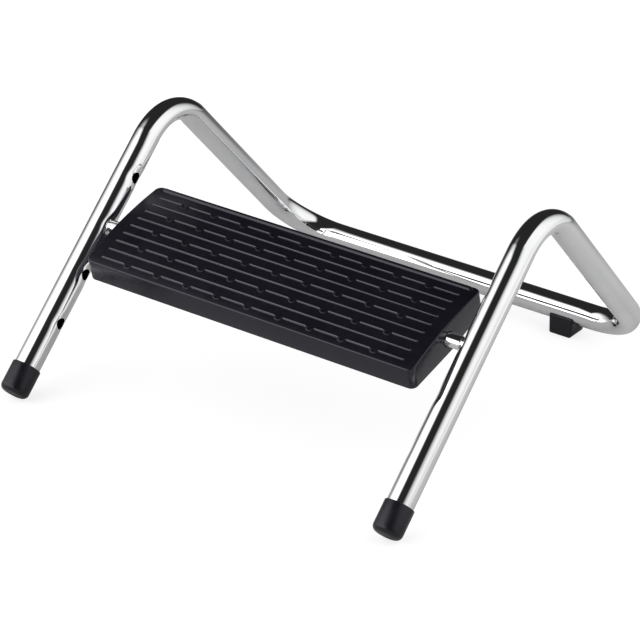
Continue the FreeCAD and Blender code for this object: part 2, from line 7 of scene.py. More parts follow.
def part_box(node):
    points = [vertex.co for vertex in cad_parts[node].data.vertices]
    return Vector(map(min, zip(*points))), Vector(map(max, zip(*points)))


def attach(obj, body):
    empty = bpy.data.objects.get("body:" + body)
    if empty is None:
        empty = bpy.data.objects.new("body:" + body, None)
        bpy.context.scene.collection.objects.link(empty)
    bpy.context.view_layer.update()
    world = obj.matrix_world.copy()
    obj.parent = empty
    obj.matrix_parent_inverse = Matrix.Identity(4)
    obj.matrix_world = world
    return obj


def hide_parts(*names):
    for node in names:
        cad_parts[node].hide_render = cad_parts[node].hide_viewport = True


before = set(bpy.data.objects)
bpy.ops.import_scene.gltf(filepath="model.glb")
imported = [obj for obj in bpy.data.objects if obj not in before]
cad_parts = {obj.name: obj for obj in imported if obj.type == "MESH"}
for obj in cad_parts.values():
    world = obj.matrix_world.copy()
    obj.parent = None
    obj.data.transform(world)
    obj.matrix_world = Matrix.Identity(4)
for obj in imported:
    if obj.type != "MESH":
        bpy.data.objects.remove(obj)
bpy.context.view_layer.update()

# Metres. +Z is up, the front faces -Y, X runs along the plate and its rod.
MM = 0.001
RIGHT = Vector((1, 0, 0))
FRONT = Vector((0, -1, 0))
UP = Vector((0, 0, 1))

# Sizes of the tube frame
TUBE_RADIUS = 12.5 * MM
TUBE_WALL = 1.5 * MM
FRONT_ANGLE = math.radians(44.5)
REAR_ANGLE = math.radians(43.85)
APEX_BEND = 51.0 * MM
CORNER_BEND = 56.0 * MM
LEG_SPACING = 411.0 * MM
FRONT_LEG = 327.0 * MM
HOLE_FIRST = 77.8 * MM
HOLE_PITCH = 52.1 * MM
HOLE_COUNT = 4
ROD_HOLE = 3
HOLE_RADIUS = 5.5 * MM

# Sizes of the caps and feet
CAP_WALL = 1.5 * MM
CAP_FLOOR = 3.0 * MM
CAP_LENGTH = 29.0 * MM
CAP_EDGE = 5.5 * MM
RAIL_OVER_FOOT = 3.2 * MM
SCREW_HEAD_HEIGHT = 2.8 * MM

# Sizes of the rod and the plate, in the plate's own frame about the rod's axis
ROD_RADIUS = 6.5 * MM
SPIGOT_RADIUS = 5.45 * MM
PLATE_TILT = math.radians(18.3)
PLATE_HALF_WIDTH = 178.0 * MM
PLATE_HALF_DEPTH = 58.5 * MM
CROWN = 14.7 * MM
ARCH_RADIUS = 404.0 * MM
SKIRT_DEPTH = 12.3 * MM
KEEL_DEPTH = 16.4 * MM
KEEL_OFFSET = 7.5 * MM
PLATE_WALL = 3.2 * MM

# Places read from the frame
foot_low, foot_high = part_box("right_rear_foot")
screw_low, screw_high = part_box("rear_foot_screws")
rod_low, rod_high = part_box("pivot_rod")
LEG_X = LEG_SPACING / 2
ROD_CENTRE = (rod_low + rod_high) / 2
FOOT_MIDDLE = (foot_low + foot_high) / 2
FOOT_EXTENT = foot_high - foot_low
FRONT_DIRECTION = Vector((0, math.cos(FRONT_ANGLE), math.sin(FRONT_ANGLE)))
REAR_DIRECTION = Vector((0, math.cos(REAR_ANGLE), -math.sin(REAR_ANGLE)))
ROD_ALONG = HOLE_FIRST + (ROD_HOLE - 1) * HOLE_PITCH
LEG_END = Vector((-LEG_X, ROD_CENTRE.y, ROD_CENTRE.z)) - ROD_ALONG * FRONT_DIRECTION
RAIL_Y = (foot_low.y + foot_high.y) / 2
RAIL_Z = foot_high.z + RAIL_OVER_FOOT
APEX = LEG_END + FRONT_LEG * FRONT_DIRECTION
SCREW_X = screw_high.x - (screw_high.y - screw_low.y) / 2
SCREW_SEAT = Vector((SCREW_X, RAIL_Y, screw_low.z + SCREW_HEAD_HEIGHT))


# Modelling helpers

# Limits for picking parts of a mesh: two distances from a place, and a cosine to a direction
NEAR = 0.1 * MM
TOUCHING = 0.05 * MM
FACING = 0.99
MERGE_DISTANCE = 0.02 * MM


def leave_edit():
    bpy.ops.object.mode_set(mode="OBJECT")


def activate(piece):
    """Leave edit mode and select this piece alone."""
    if bpy.context.object and bpy.context.object.mode != "OBJECT":
        leave_edit()
    bpy.ops.object.select_all(action="DESELECT")
    piece.select_set(True)
    bpy.context.view_layer.objects.active = piece


def name_piece(name):
    """Name the piece that was just added."""
    piece = bpy.context.object
    piece.name = name
    piece.data.name = name
    return piece


def settle(piece):
    """Put the piece's place into its mesh."""
    activate(piece)
    bpy.ops.object.transform_apply(location=True, rotation=True, scale=True)


def edit(piece, mode="VERT"):
    activate(piece)
    bpy.ops.object.mode_set(mode="EDIT")
    bpy.ops.mesh.select_mode(type=mode)
    bpy.ops.mesh.select_all(action="DESELECT")


def clear_selection(mesh):
    for elements in (mesh.vertices, mesh.edges, mesh.polygons):
        for element in elements:
            element.select = False


def select_edges(piece, test):
    """Select edges whose two ends pass a test given both places."""
    leave_edit()
    clear_selection(piece.data)
    points = piece.data.vertices
    for edge in piece.data.edges:
        first, second = (points[index] for index in edge.vertices)
        if test(first.co, second.co):
            edge.select = first.select = second.select = True
    bpy.ops.object.mode_set(mode="EDIT")


def select_faces(piece, test):
    """Select faces that pass a test on their centre and normal."""
    leave_edit()
    clear_selection(piece.data)
    for face in piece.data.polygons:
        face.select = test(face.center, face.normal)
    bpy.ops.object.mode_set(mode="EDIT")


def extrude(offset, steps=1):
    """Extrude what is selected by an offset, in equal steps."""
    for _ in range(steps):
        bpy.ops.mesh.extrude_region_move(TRANSFORM_OT_translate={"value": offset / steps})


def bisect_at(y):
    """Add a loop of edges all round the edited piece, at one place of its depth."""
    bpy.ops.mesh.select_all(action="SELECT")
    bpy.ops.mesh.bisect(plane_co=(0, y, 0), plane_no=(0, 1, 0))


def add_modifier(piece, kind, **settings):
    modifier = piece.modifiers.new(kind.lower(), kind)
    for name, value in settings.items():
        setattr(modifier, name, value)
    activate(piece)
    bpy.ops.object.modifier_apply(modifier=modifier.name)


def combine(piece, other, operation):
    add_modifier(piece, "BOOLEAN", object=other, operation=operation, solver="EXACT")
    bpy.data.objects.remove(other, do_unlink=True)


def cut(piece, cutter):
    combine(piece, cutter, "DIFFERENCE")


def fuse(piece, addition):
    combine(piece, addition, "UNION")


def add_bar(name, radius, start, end, sides=48):
    """Plain round bar between two places, as a start or a cutter."""
    span = end - start
    bpy.ops.mesh.primitive_cylinder_add(vertices=sides, radius=radius, depth=span.length)
    bar = name_piece(name)
    turn = UP.rotation_difference(span.normalized()).to_matrix().to_4x4()
    bar.data.transform(Matrix.Translation((start + end) / 2) @ turn)
    return bar


def add_block(name, low, high):
    bpy.ops.mesh.primitive_cube_add(size=1, location=(low + high) / 2)
    block = name_piece(name)
    block.scale = high - low
    settle(block)
    return block


def merge_doubles(piece):
    edit(piece)
    bpy.ops.mesh.select_all(action="SELECT")
    bpy.ops.mesh.remove_doubles(threshold=MERGE_DISTANCE)
    bpy.ops.mesh.normals_make_consistent(inside=False)
    leave_edit()


def join(main, others):
    activate(main)
    for other in others:
        other.select_set(True)
    bpy.ops.object.join()


def mirrored_copy(piece, name):
    twin = piece.copy()
    twin.data = piece.data.copy()
    twin.name = twin.data.name = name
    bpy.context.collection.objects.link(twin)
    twin.data.transform(Matrix.Scale(-1, 4, RIGHT))
    twin.data.flip_normals()
    return twin


def smooth(piece, degrees):
    """Shade the piece smooth, apart from edges sharper than this."""
    activate(piece)
    bpy.ops.object.shade_smooth_by_angle(angle=math.radians(degrees))


def paint(piece, *materials):
    piece.data.materials.clear()
    for material in materials:
        piece.data.materials.append(material)


def finish_piece(piece, body, slot, *nodes):
    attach(piece, body)
    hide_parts(*nodes)


# Finishes: each wanders between two colours and two roughnesses, as a made surface does

NOISE_LOW = 0.35
NOISE_HIGH = 0.65
CHROME_COLOURS = ((0.90, 0.905, 0.92), (0.95, 0.95, 0.955))
CHROME_ROUGHNESS = (0.035, 0.07)
BARE_STEEL_COLOURS = ((0.03, 0.028, 0.027), (0.075, 0.068, 0.062))
BARE_STEEL_ROUGHNESS = (0.55, 0.75)
PLASTIC_COLOURS = ((0.0055, 0.0053, 0.009), (0.0078, 0.0075, 0.0125))
PLASTIC_GLOSS_TINT = (0.9, 0.87, 1.0, 1.0)
RUBBER_COLOURS = ((0.006, 0.006, 0.0085), (0.009, 0.009, 0.012))
RUBBER_GLOSS_TINT = (0.92, 0.9, 1.0, 1.0)
RUBBER_ROUGHNESS = (0.28, 0.38)
ZINC_COLOURS = ((0.55, 0.56, 0.58), (0.68, 0.68, 0.69))
ZINC_ROUGHNESS = (0.28, 0.42)


def new_finish(name, levels):
    """Material with its even levels set on the shader's own sockets."""
    material = bpy.data.materials.new(name)
    material.use_nodes = True
    shader = material.node_tree.nodes["Principled BSDF"]
    for socket, level in levels.items():
        shader.inputs[socket].default_value = level
    return material


def add_noise(material, scale, detail):
    """Noise on the piece's own coordinates."""
    nodes, links = material.node_tree.nodes, material.node_tree.links
    pattern = nodes.new("ShaderNodeTexNoise")
    pattern.inputs["Scale"].default_value = scale
    pattern.inputs["Detail"].default_value = detail
    links.new(nodes.new("ShaderNodeTexCoord").outputs["Object"], pattern.inputs["Vector"])
    return pattern.outputs["Fac"]


def vary(material, socket, ends, scale, detail=3.0):
    """Let a shader's socket wander between two ends, which are colours or plain levels."""
    nodes, links = material.node_tree.nodes, material.node_tree.links
    stops = nodes.new("ShaderNodeValToRGB")
    for stop, position, end in zip(stops.color_ramp.elements, (NOISE_LOW, NOISE_HIGH), ends):
        stop.position = position
        stop.color = (*end, 1) if isinstance(end, tuple) else (end, end, end, 1)
    links.new(add_noise(material, scale, detail), stops.inputs["Fac"])
    links.new(stops.outputs["Color"], nodes["Principled BSDF"].inputs[socket])


def add_grain(material, scale, detail, strength, depth):
    """Fine relief in the surface."""
    nodes, links = material.node_tree.nodes, material.node_tree.links
    relief = nodes.new("ShaderNodeBump")
    relief.inputs["Strength"].default_value = strength
    relief.inputs["Distance"].default_value = depth
    links.new(add_noise(material, scale, detail), relief.inputs["Height"])
    links.new(relief.outputs["Normal"], nodes["Principled BSDF"].inputs["Normal"])


def make_chrome():
    """Polished chrome with a faint haze and the slight waviness of plated tube."""
    material = new_finish("polished_chrome", {"Metallic": 1.0})
    vary(material, "Base Color", CHROME_COLOURS, scale=22)
    vary(material, "Roughness", CHROME_ROUGHNESS, scale=60, detail=5)
    add_grain(material, scale=90, detail=2, strength=0.03, depth=0.5 * MM)
    return material


def make_bare_steel():
    """Dark dull steel inside the tube, which the plating does not reach."""
    material = new_finish("bare_inner_steel", {"Metallic": 0.7})
    vary(material, "Base Color", BARE_STEEL_COLOURS, scale=45, detail=5)
    vary(material, "Roughness", BARE_STEEL_ROUGHNESS, scale=120, detail=4)
    return material


def make_plate_plastic(name, gloss_level, roughness):
    """Near-black violet-grey moulded plastic with a fine grain, as glossy as its part of the mould."""
    levels = {"Specular IOR Level": gloss_level, "Specular Tint": PLASTIC_GLOSS_TINT}
    material = new_finish(name, levels)
    vary(material, "Base Color", PLASTIC_COLOURS, scale=35, detail=4)
    vary(material, "Roughness", roughness, scale=140, detail=4)
    add_grain(material, scale=1600, detail=2, strength=0.05, depth=0.2 * MM)
    return material


def make_rubber():
    """Black rubber, smooth moulded, with a soft sheen and a fine grain."""
    levels = {"Specular IOR Level": 0.42, "Specular Tint": RUBBER_GLOSS_TINT}
    material = new_finish("black_rubber", levels)
    vary(material, "Base Color", RUBBER_COLOURS, scale=60, detail=4)
    vary(material, "Roughness", RUBBER_ROUGHNESS, scale=200)
    add_grain(material, scale=1100, detail=3, strength=0.2, depth=0.2 * MM)
    return material


def make_zinc():
    """Bright zinc plate of the hidden screws."""
    material = new_finish("zinc_plate", {"Metallic": 1.0})
    vary(material, "Base Color", ZINC_COLOURS, scale=300)
    vary(material, "Roughness", ZINC_ROUGHNESS, scale=500)
    return material


chrome = make_chrome()
bare_steel = make_bare_steel()
tread_plastic = make_plate_plastic("black_plastic_tread", gloss_level=0.4, roughness=(0.3, 0.36))
skirt_plastic = make_plate_plastic("black_plastic_skirt", gloss_level=0.6, roughness=(0.22, 0.27))
crest_plastic = make_plate_plastic("black_plastic_crests", gloss_level=1.0, roughness=(0.11, 0.14))
rubber = make_rubber()
zinc = make_zinc()


# Tube frame

TUBE_SIDES = 64
LEG_END_STEPS = 4
SHOULDER_STEPS = 2
STRAIGHT_STEPS = 12
BEND_STEPS = 30
HOLE_ZONE_STEP = 1.7 * MM
HOLE_ZONE_BELOW = 4 * HOLE_RADIUS
HOLE_ZONE_ABOVE = 3 * HOLE_RADIUS
DIMPLE_DEPTHS = (0.35 * MM, 0.8 * MM, 0.9 * MM, 0.9 * MM)
DIMPLE_REACH = 4.2 * MM
DIMPLE_ZONE = 3 * TUBE_RADIUS
OUTER_FLATTENING = 0.18
INNER_FLATTENING = 0.14
SIDE_SWELL = 0.01
FLATTENING_EASE = 0.6
BEND_ZONE = 1.2 * TUBE_RADIUS
APEX_TURN = FRONT_ANGLE + REAR_ANGLE
APEX_TANGENT = APEX_BEND * math.tan(APEX_TURN / 2)
REAR_LENGTH = (APEX.z - RAIL_Z) / math.sin(REAR_ANGLE)
FRONT_NORMAL = RIGHT.cross(FRONT_DIRECTION)
REAR_NORMAL = RIGHT.cross(REAR_DIRECTION)
APEX_START = APEX - APEX_TANGENT * FRONT_DIRECTION
APEX_CENTRE = APEX_START - APEX_BEND * FRONT_NORMAL
RAIL_CORNER = APEX + REAR_LENGTH * REAR_DIRECTION
CORNER_START = RAIL_CORNER - CORNER_BEND * REAR_DIRECTION
CORNER_CENTRE = CORNER_START + CORNER_BEND * RIGHT


def hole_place(number):
    """Centre of the tube at one of the left leg's holes."""
    return LEG_END + (HOLE_FIRST + number * HOLE_PITCH) * FRONT_DIRECTION


def flatten_bend(piece, centre, axis, bend_radius, first_spoke, turn):
    """Press a bend slightly oval, more on its outside, as a bending former leaves it."""
    side = axis.cross(first_spoke)
    for vertex in piece.data.vertices:
        arm = vertex.co - centre
        along_axis = arm.dot(axis)
        flat = arm - along_axis * axis
        share = math.atan2(flat.dot(side), flat.dot(first_spoke)) / turn
        offset = flat.length - bend_radius
        if abs(offset) >= BEND_ZONE or abs(along_axis) >= BEND_ZONE or share < 0 or share > 1:
            continue
        strength = math.sin(math.pi * share) ** FLATTENING_EASE
        press = OUTER_FLATTENING if offset > 0 else INNER_FLATTENING
        wanted = bend_radius + offset * (1 - press * strength)
        swollen = along_axis * (1 + SIDE_SWELL * strength)
        vertex.co = centre + flat.normalized() * wanted + swollen * axis


def punch_dimples(tube):
    """Draw the wall in a little around each punched hole."""
    for number, depth in enumerate(DIMPLE_DEPTHS):
        place = hole_place(number)
        for vertex in tube.data.vertices:
            arm = vertex.co - place
            if arm.x <= 0 or arm.length > DIMPLE_ZONE:
                continue
            reach = Vector((0, arm.y, arm.z)).length
            rim = max(reach - HOLE_RADIUS, 0) / DIMPLE_REACH
            vertex.co.x -= depth * math.exp(-rim * rim)


def make_frame_tube():
    """Left half, drawn from the front leg's end to the middle of the rail and then mirrored."""
    bpy.ops.mesh.primitive_circle_add(vertices=TUBE_SIDES, radius=TUBE_RADIUS)
    tube = name_piece("frame_tube")
    lean = Matrix.Rotation(FRONT_ANGLE - math.pi / 2, 4, "X")
    tube.data.transform(Matrix.Translation(LEG_END + CAP_FLOOR * FRONT_DIRECTION) @ lean)
    edit(tube)
    bpy.ops.mesh.select_all(action="SELECT")
    zone_start = HOLE_FIRST - HOLE_ZONE_BELOW
    zone_end = HOLE_FIRST + (HOLE_COUNT - 1) * HOLE_PITCH + HOLE_ZONE_ABOVE
    zone_steps = round((zone_end - zone_start) / HOLE_ZONE_STEP)
    extrude((zone_start - CAP_FLOOR) * FRONT_DIRECTION, LEG_END_STEPS)
    extrude((zone_end - zone_start) * FRONT_DIRECTION, zone_steps)
    extrude((FRONT_LEG - APEX_TANGENT - zone_end) * FRONT_DIRECTION, SHOULDER_STEPS)
    bpy.ops.mesh.spin(steps=BEND_STEPS, angle=APEX_TURN, center=APEX_CENTRE, axis=RIGHT)
    extrude((REAR_LENGTH - APEX_TANGENT - CORNER_BEND) * REAR_DIRECTION, STRAIGHT_STEPS)
    bpy.ops.mesh.spin(steps=BEND_STEPS, angle=math.pi / 2, center=CORNER_CENTRE, axis=REAR_NORMAL)
    extrude((LEG_X - CORNER_BEND) * RIGHT, STRAIGHT_STEPS)
    leave_edit()
    merge_doubles(tube)
    flatten_bend(tube, APEX_CENTRE, -RIGHT, APEX_BEND, FRONT_NORMAL, APEX_TURN)
    flatten_bend(tube, CORNER_CENTRE, -REAR_NORMAL, CORNER_BEND, -RIGHT, math.pi / 2)
    punch_dimples(tube)
    add_modifier(tube, "MIRROR", merge_threshold=NEAR)
    merge_doubles(tube)
    paint(tube, chrome, bare_steel)
    add_modifier(tube, "SOLIDIFY", thickness=TUBE_WALL, offset=-1, material_offset=1)
    for number in range(HOLE_COUNT):
        place = hole_place(number)
        cut(tube, add_bar("punch", HOLE_RADIUS, place, Vector((-place.x, place.y, place.z))))
    smooth(tube, degrees=40)
    return tube


finish_piece(make_frame_tube(), "frame", "chromed_steel", "tube_frame")


# Front caps

CAP_SIDES = 72
CAP_RIM_BEVEL = 0.6 * MM


def make_front_cap():
    """Round block, hollowed for the leg's end and rounded well at its foot."""
    top = LEG_END + CAP_LENGTH * FRONT_DIRECTION
    cap = add_bar("left_cap", TUBE_RADIUS + CAP_WALL, LEG_END, top, CAP_SIDES)
    edit(cap, "FACE")
    select_faces(cap, lambda centre, normal: normal.dot(FRONT_DIRECTION) > FACING)
    bpy.ops.mesh.inset(thickness=CAP_WALL, depth=0)
    extrude(-(CAP_LENGTH - CAP_FLOOR) * FRONT_DIRECTION)

    def level(point):
        return (point - LEG_END).dot(FRONT_DIRECTION)

    select_edges(cap, lambda a, b: level(a) < NEAR and level(b) < NEAR)
    bpy.ops.mesh.bevel(offset=CAP_EDGE, segments=8, affect="EDGES")
    rim = CAP_LENGTH - NEAR
    select_edges(cap, lambda a, b: level(a) > rim and level(b) > rim)
    bpy.ops.mesh.bevel(offset=CAP_RIM_BEVEL, segments=3, affect="EDGES")
    leave_edit()
    smooth(cap, degrees=50)
    paint(cap, rubber)
    return cap


left_cap = make_front_cap()
right_cap = mirrored_copy(left_cap, "right_cap")
finish_piece(left_cap, "frame", "black_rubber", "left_front_cap")
finish_piece(right_cap, "frame", "black_rubber", "right_front_cap")


# Rear feet

FOOT_BEVEL = 2.2 * MM
FOOT_RIM_BEVEL = 0.5 * MM
FOOT_SPREAD = (1.12, 1.0, 1.0)
FOOT_TOP_DROP = 1.0 * MM
SADDLE_SIDES = 96
SCREW_SINK_RADIUS = 4.5 * MM
SCREW_SINK_SIDES = 40


def is_saddle_rim(point):
    """Whether a place lies on the saddle's curve at one of the foot's two sides."""
    across = abs(math.hypot(point.y - RAIL_Y, point.z - RAIL_Z) - TUBE_RADIUS) < TOUCHING
    at_end = abs(point.x - FOOT_MIDDLE.x) > FOOT_EXTENT.x / 2
    return across and at_end


def make_rear_foot():
    """Rubber block, a little wider at the rail, with a saddle for it and a sink for the screw."""
    foot = add_block("right_foot", foot_low, foot_high)
    edit(foot, "FACE")
    select_faces(foot, lambda centre, normal: normal.z > FACING)
    bpy.ops.transform.resize(value=FOOT_SPREAD)
    bpy.ops.transform.translate(value=(0, 0, -FOOT_TOP_DROP))
    top = foot_high.z - FOOT_TOP_DROP
    edit(foot, "EDGE")
    select_edges(foot, lambda a, b: min(a.z, b.z) < top - NEAR)
    bpy.ops.mesh.bevel(offset=FOOT_BEVEL, segments=5, affect="EDGES")
    leave_edit()
    rail_left = Vector((foot_low.x - FOOT_EXTENT.x, RAIL_Y, RAIL_Z))
    rail_right = Vector((foot_high.x + FOOT_EXTENT.x, RAIL_Y, RAIL_Z))
    cut(foot, add_bar("saddle", TUBE_RADIUS, rail_left, rail_right, SADDLE_SIDES))
    below_foot = Vector((FOOT_MIDDLE.x, RAIL_Y, -MM))
    cut(foot, add_bar("sink", SCREW_SINK_RADIUS, below_foot, SCREW_SEAT, SCREW_SINK_SIDES))
    edit(foot, "EDGE")
    select_edges(foot, lambda a, b: is_saddle_rim(a) and is_saddle_rim(b))
    bpy.ops.mesh.bevel(offset=FOOT_RIM_BEVEL, segments=2, affect="EDGES")
    leave_edit()
    smooth(foot, degrees=40)
    paint(foot, rubber)
    return foot


right_foot = make_rear_foot()
left_foot = mirrored_copy(right_foot, "left_foot")
finish_piece(left_foot, "frame", "black_rubber", "left_rear_foot")
finish_piece(right_foot, "frame", "black_rubber", "right_rear_foot")


# Pivot rod

ROD_SIDES = 64
ROD_EDGE = 0.84 * MM
ROD_END_GAP = 0.3 * MM
SPIGOT_LENGTH = 8.0 * MM
SPIGOT_CHAMFER = 1.0 * MM
SPIGOT_TIP = 0.8


def make_rod():
    """Round bar, stepped down at each end by insets and short extrusions."""
    shoulder = LEG_X - TUBE_RADIUS - ROD_END_GAP
    start, end = ROD_CENTRE - shoulder * RIGHT, ROD_CENTRE + shoulder * RIGHT
    bar = add_bar("hanging_rod", ROD_RADIUS, start, end, ROD_SIDES)
    limit = shoulder - NEAR
    for side in (-1, 1):
        edit(bar, "EDGE")
        select_edges(bar, lambda a, b: a.x * side > limit and b.x * side > limit)
        bpy.ops.mesh.bevel(offset=ROD_EDGE, segments=2, affect="EDGES")
        bpy.ops.mesh.select_mode(type="FACE")
        select_faces(bar, lambda centre, normal: normal.x * side > FACING and centre.x * side > limit)
        bpy.ops.mesh.inset(thickness=ROD_RADIUS - ROD_EDGE - SPIGOT_RADIUS, depth=0)
        extrude((SPIGOT_LENGTH + ROD_END_GAP - SPIGOT_CHAMFER) * side * RIGHT)
        extrude(SPIGOT_CHAMFER * side * RIGHT)
        bpy.ops.transform.resize(value=(1, SPIGOT_TIP, SPIGOT_TIP))
        leave_edit()
    smooth(bar, degrees=40)
    paint(bar, chrome)
    return bar


finish_piece(make_rod(), "plate", "chromed_steel", "pivot_rod")


# Foot plate, made level about the origin and then tilted onto the rod

EDGE_RADIUS = 1.2 * MM
CORNER_RADIUS = 6.5 * MM
UPRIGHT_EDGE = 5.0 * MM
SURFACE_FACING = 0.8
ARCH_STEPS = 16
WEB_COUNT = 5
WEB_PITCH = 58.0 * MM
WEB_THICKNESS = 2.6 * MM
WEB_DEPTH = 10.5 * MM
LONG_WEB_OFFSET = 27.0 * MM
LONG_WEB_STEPS = 2
BOSS_RADIUS = 10.5 * MM
BOSS_LENGTH = 11.0 * MM
RECESS_RADIUS = 7.5 * MM
RECESS_DEPTH = 1.5 * MM
TREAD_FACING = 0.97
BEAD_RADIUS = 2.85 * MM
BEAD_INSET = 4.25 * MM
BEAD_SINK = 0.7 * MM
BEAD_TAPER = 4.0 * MM
BEAD_TAPER_SHARES = (0.9, 0.6)
BEAD_SIDES = 40


def arch_height(y, radius=ARCH_RADIUS):
    """Height over the rod's axis of the tread's surface, or of an arch inside it."""
    return CROWN - ARCH_RADIUS + math.sqrt(radius * radius - y * y)


def keel_height(y):
    """Height of the skirt's lower edge, lowest at the keel."""
    if y < KEEL_OFFSET:
        share = (y + PLATE_HALF_DEPTH) / (KEEL_OFFSET + PLATE_HALF_DEPTH)
    else:
        share = (PLATE_HALF_DEPTH - y) / (PLATE_HALF_DEPTH - KEEL_OFFSET)
    return -SKIRT_DEPTH - share * (KEEL_DEPTH - SKIRT_DEPTH)


def round_plate_edge(shell, test):
    """Round the outline of the shell's top or underside."""
    select_faces(shell, test)
    bpy.ops.mesh.region_to_loop()
    bpy.ops.mesh.bevel(offset=EDGE_RADIUS, segments=4, affect="EDGES")
    bpy.ops.mesh.select_mode(type="EDGE")


def make_plate_shell():
    """Solid block, arched on top and keeled below, with its corners and outlines rounded."""
    low = Vector((-PLATE_HALF_WIDTH, -PLATE_HALF_DEPTH, -SKIRT_DEPTH))
    high = Vector((PLATE_HALF_WIDTH, PLATE_HALF_DEPTH, CROWN))
    shell = add_block("tread_plate", low, high)
    edit(shell, "EDGE")
    step = 2 * PLATE_HALF_DEPTH / ARCH_STEPS
    places = [-PLATE_HALF_DEPTH + step * number for number in range(1, ARCH_STEPS)]
    for y in [y for y in places if abs(y - KEEL_OFFSET) > step / 2] + [KEEL_OFFSET]:
        bisect_at(y)
    leave_edit()
    for vertex in shell.data.vertices:
        y = vertex.co.y
        vertex.co.z = arch_height(y) if vertex.co.z > 0 else keel_height(y)
    edge_x, edge_y = PLATE_HALF_WIDTH - TOUCHING, PLATE_HALF_DEPTH - TOUCHING

    def is_corner_edge(a, b):
        at_corner = all(abs(point.x) > edge_x and abs(point.y) > edge_y for point in (a, b))
        return at_corner and abs(a.z - b.z) > UPRIGHT_EDGE

    edit(shell, "EDGE")
    select_edges(shell, is_corner_edge)
    bpy.ops.mesh.bevel(offset=CORNER_RADIUS, segments=6, affect="EDGES")
    round_plate_edge(shell, lambda centre, normal: normal.z > SURFACE_FACING)
    round_plate_edge(shell, lambda centre, normal: normal.z < -SURFACE_FACING)
    leave_edit()
    return shell


def arch_top(piece, radius):
    """Bend a block's upper side to an arch of this radius."""
    for vertex in piece.data.vertices:
        if vertex.co.z > 0:
            vertex.co.z = arch_height(vertex.co.y, radius)


def make_hollow():
    """The space under the tread, as a solid to cut out of the shell."""
    inner_x, inner_y = PLATE_HALF_WIDTH - PLATE_WALL, PLATE_HALF_DEPTH - PLATE_WALL
    floor = -KEEL_DEPTH - PLATE_WALL
    hollow = add_block("hollow", Vector((-inner_x, -inner_y, floor)), Vector((inner_x, inner_y, CROWN)))
    edit(hollow, "EDGE")
    for number in range(1, ARCH_STEPS):
        bisect_at(-inner_y + 2 * inner_y * number / ARCH_STEPS)
    leave_edit()
    arch_top(hollow, ARCH_RADIUS - PLATE_WALL)
    return hollow


def make_web(low, high, steps=ARCH_STEPS):
    """Upright web whose top follows the underside of the tread, sunk a little into it."""
    web = add_block("web", low, high)
    edit(web, "EDGE")
    for number in range(1, steps):
        bisect_at(low.y + (high.y - low.y) * number / steps)
    leave_edit()
    arch_top(web, ARCH_RADIUS - PLATE_WALL / 2)
    return web


def add_webs(shell):
    """Cross webs, long webs and the rod's two bosses."""
    inner_x, inner_y = PLATE_HALF_WIDTH - PLATE_WALL / 2, PLATE_HALF_DEPTH - PLATE_WALL / 2
    for number in range(WEB_COUNT):
        x = (number - (WEB_COUNT - 1) / 2) * WEB_PITCH
        low = Vector((x - WEB_THICKNESS / 2, -inner_y, -WEB_DEPTH))
        high = Vector((x + WEB_THICKNESS / 2, inner_y, CROWN))
        fuse(shell, make_web(low, high))
    for side in (-1, 1):
        y = side * LONG_WEB_OFFSET
        low = Vector((-inner_x, y - WEB_THICKNESS / 2, -WEB_DEPTH))
        high = Vector((inner_x, y + WEB_THICKNESS / 2, CROWN))
        fuse(shell, make_web(low, high, LONG_WEB_STEPS))
        outer = side * inner_x * RIGHT
        fuse(shell, add_bar("boss", BOSS_RADIUS, outer, outer - side * BOSS_LENGTH * RIGHT))


def bore_plate(shell):
    """Bore the plate for its rod, with a shallow recess round it at each end."""
    past_end = 2 * (PLATE_HALF_WIDTH - PLATE_WALL / 2) * RIGHT
    cut(shell, add_bar("bore", ROD_RADIUS, -past_end, past_end, ROD_SIDES))
    for side in (-1, 1):
        mouth = side * (PLATE_HALF_WIDTH - RECESS_DEPTH) * RIGHT
        cut(shell, add_bar("recess", RECESS_RADIUS, mouth, 2 * mouth, ROD_SIDES))


def paint_shell(shell):
    """Satin tread inside glossier edges and skirt."""
    paint(shell, skirt_plastic, tread_plastic)
    for face in shell.data.polygons:
        below = arch_height(face.center.y) - face.center.z
        face.material_index = 1 if face.normal.z > TREAD_FACING and below < NEAR else 0


def make_back_bead():
    """Round bead along the tread's back edge, tapered at each end."""
    y = PLATE_HALF_DEPTH - BEAD_INSET
    middle = Vector((0, y, arch_height(y) - BEAD_SINK))
    reach = (PLATE_HALF_WIDTH - CORNER_RADIUS - BEAD_TAPER) * RIGHT
    bead = add_bar("bead", BEAD_RADIUS, middle - reach, middle + reach, BEAD_SIDES)
    for side in (-1, 1):
        edit(bead, "FACE")
        select_faces(bead, lambda centre, normal: normal.x * side > FACING)
        for share in BEAD_TAPER_SHARES:
            extrude(BEAD_TAPER / 2 * side * RIGHT)
            bpy.ops.transform.resize(value=(1, share, share))
        leave_edit()
    paint(bead, skirt_plastic)
    return bead


# Ridges of the tread, every second one with half-round jogs to the front

RIDGE_COUNT = 9
RIDGE_FIRST = 49.0 * MM
RIDGE_PITCH = 11.38 * MM
RIDGE_HALF_LENGTH = 165.3 * MM
RIDGE_RADIUS = 1.0 * MM
RIDGE_HEIGHT = 1.2 * MM
RIDGE_FOOT = 0.45 * MM
RIDGE_FOOT_SWEEP = 0.3
CREST_STEPS = 9
RIDGE_SINK = 0.6 * MM
RIDGE_BED = 0.02 * MM
RIDGE_END = 1.6 * MM
RIDGE_END_WIDTH = 0.5
RIDGE_END_HEIGHT = 0.1
JOG_COUNT = 9
JOG_PITCH = 33.6 * MM
JOG_RADIUS = 4.1 * MM
JOG_BULGE = 3.3 * MM
JOG_SWEEP = 1.6 * MM
JOG_STEPS = 14
SWEEP_STEPS = 5
JOG_FLATTENING = 0.5
CREST_REACH = 1.2 * MM


